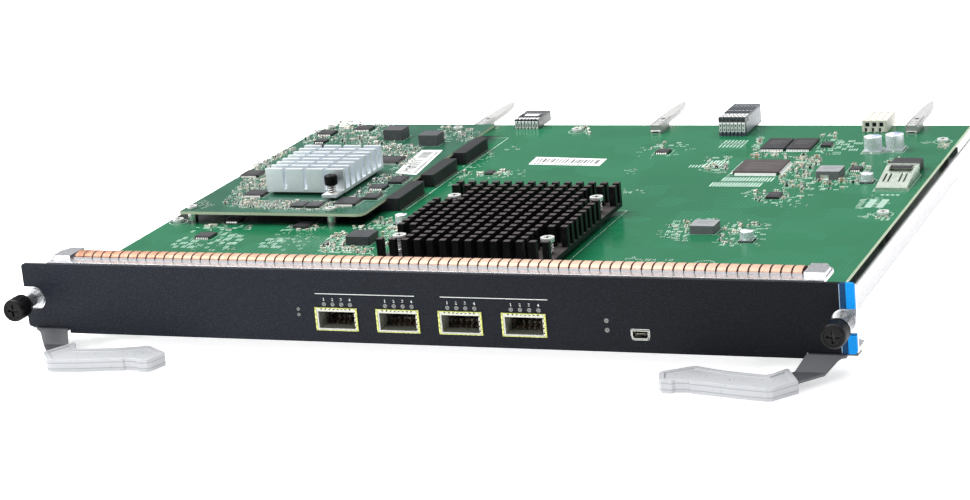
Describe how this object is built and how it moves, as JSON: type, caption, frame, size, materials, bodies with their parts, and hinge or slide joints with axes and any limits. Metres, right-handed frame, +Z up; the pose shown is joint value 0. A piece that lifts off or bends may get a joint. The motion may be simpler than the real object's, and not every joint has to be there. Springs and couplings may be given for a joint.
{
  "type": "switch line card",
  "caption": "Chassis switch line card: black front panel with optical ports, ejector levers and thumbscrews on a tray carrying green circuit boards, heat sinks and rear connectors.",
  "frame": {"origin": "bottom centre of the card's bounding box, levers closed", "axes": "+Z up, -Y out of the front panel, +X to the right seen from the front"},
  "size_m": [0.401, 0.4078, 0.0449],
  "materials": {
    "panel_black": "fine textured powder coat",
    "frame_zinc": "bright zinc",
    "gasket_copper": "bare copper alloy",
    "tray_steel": "zinc plated sheet",
    "board_green": "glossy solder mask",
    "steel_bright": "nickel plated",
    "cage_steel": "tinned",
    "frame_tinted": "yellow-green chromate",
    "plastic_black": "moulded",
    "clear_plastic": "translucent",
    "lever_steel": "rolled, bright edge",
    "grip_plastic": "translucent grey",
    "knob_black": "knurled",
    "spring_steel": "wire",
    "anodised_black": "black anodised",
    "chip_black": "moulding compound",
    "aluminium_bright": "clear anodised",
    "ferrite_grey": "pressed powder",
    "can_aluminium": "bright",
    "wafer_grey": "moulded",
    "plastic_beige": "moulded",
    "pin_metal": "nickel plated die casting"
  },
  "bodies": {
    "card": {"faceplate": "panel_black", "panel_frame": "frame_zinc", "gasket_rail": "frame_zinc", "emi_gasket": "gasket_copper", "sheet_tray": "tray_steel", "main_board": "board_green", "port_board": "board_green", "processor_board": "board_green", "tray_standoffs": "steel_bright", "board_screws": "steel_bright", "processor_board_standoffs": "steel_bright", "processor_board_screws": "steel_bright", "port_cages": "cage_steel", "port_emi_frames": "frame_tinted", "port_connectors": "plastic_black", "port_light_pipes": "clear_plastic", "status_light_pipes": "clear_plastic", "console_port_shell": "cage_steel", "console_port_tongue": "plastic_black", "stacking_connector": "plastic_black", "lever_rivets": "steel_bright", "left_thumbscrew_ferrule": "steel_bright", "right_thumbscrew_ferrule": "steel_bright", "left_thumbscrew_spring": "spring_steel", "right_thumbscrew_spring": "spring_steel", "pin_fin_heatsink": "anodised_black", "heatsink_screws": "steel_bright", "heatsink_nuts": "steel_bright", "heatsink_springs": "spring_steel", "switch_chip": "chip_black", "processor_heatsink": "aluminium_bright", "processor_chip": "chip_black", "push_pins": "plastic_black", "push_pin_springs": "spring_steel", "processor_board_chips": "chip_black", "processor_board_inductors": "ferrite_grey", "processor_board_connectors": "plastic_black", "main_board_chips": "chip_black", "control_chip": "chip_black", "memory_chips": "chip_black", "power_inductors": "ferrite_grey", "large_capacitors": "can_aluminium", "small_capacitors": "can_aluminium", "shielded_slot": "cage_steel", "slot_housing": "plastic_black", "backplane_connector_left": "wafer_grey", "backplane_connector_right": "wafer_grey", "power_connector": "plastic_beige", "guide_pins": "pin_metal"},
    "left_lever_set": {"left_lever": "lever_steel", "left_grip": "grip_plastic"},
    "right_lever_set": {"right_lever": "lever_steel", "right_grip": "grip_plastic"},
    "left_screw_carrier": {"left_thumbscrew_clip": "steel_bright"},
    "left_screw_turning": {"left_thumbscrew_knob": "knob_black", "left_thumbscrew_shaft": "steel_bright"},
    "right_screw_carrier": {"right_thumbscrew_clip": "steel_bright"},
    "right_screw_turning": {"right_thumbscrew_knob": "knob_black", "right_thumbscrew_shaft": "steel_bright"}
  },
  "joints": [
    {"name": "left_lever_hinge", "type": "hinge", "parent": "card", "child": "left_lever_set", "pos_m": [-0.186, -0.16115, 0.0094], "axis": [0, 0, -1], "range_deg": [0, 60]},
    {"name": "left_screw_slide", "type": "slide", "parent": "card", "child": "left_screw_carrier", "axis": [0, 1, 0], "range_m": [0, 0.0032], "stiffness_N_per_m": 300, "springref_m": -0.002, "deforming": ["left_thumbscrew_spring"]},
    {"name": "left_screw_spin", "type": "hinge", "parent": "left_screw_carrier", "child": "left_screw_turning", "pos_m": [-0.195, -0.18015, 0.0242], "axis": [0, 1, 0], "continuous": true},
    {"name": "right_lever_hinge", "type": "hinge", "parent": "card", "child": "right_lever_set", "pos_m": [0.186, -0.16115, 0.0094], "axis": [0, 0, 1], "range_deg": [0, 60]},
    {"name": "right_screw_slide", "type": "slide", "parent": "card", "child": "right_screw_carrier", "axis": [0, 1, 0], "range_m": [0, 0.0032], "stiffness_N_per_m": 300, "springref_m": -0.002, "deforming": ["right_thumbscrew_spring"]},
    {"name": "right_screw_spin", "type": "hinge", "parent": "right_screw_carrier", "child": "right_screw_turning", "pos_m": [0.195, -0.18015, 0.0242], "axis": [0, 1, 0], "continuous": true}
  ]
}
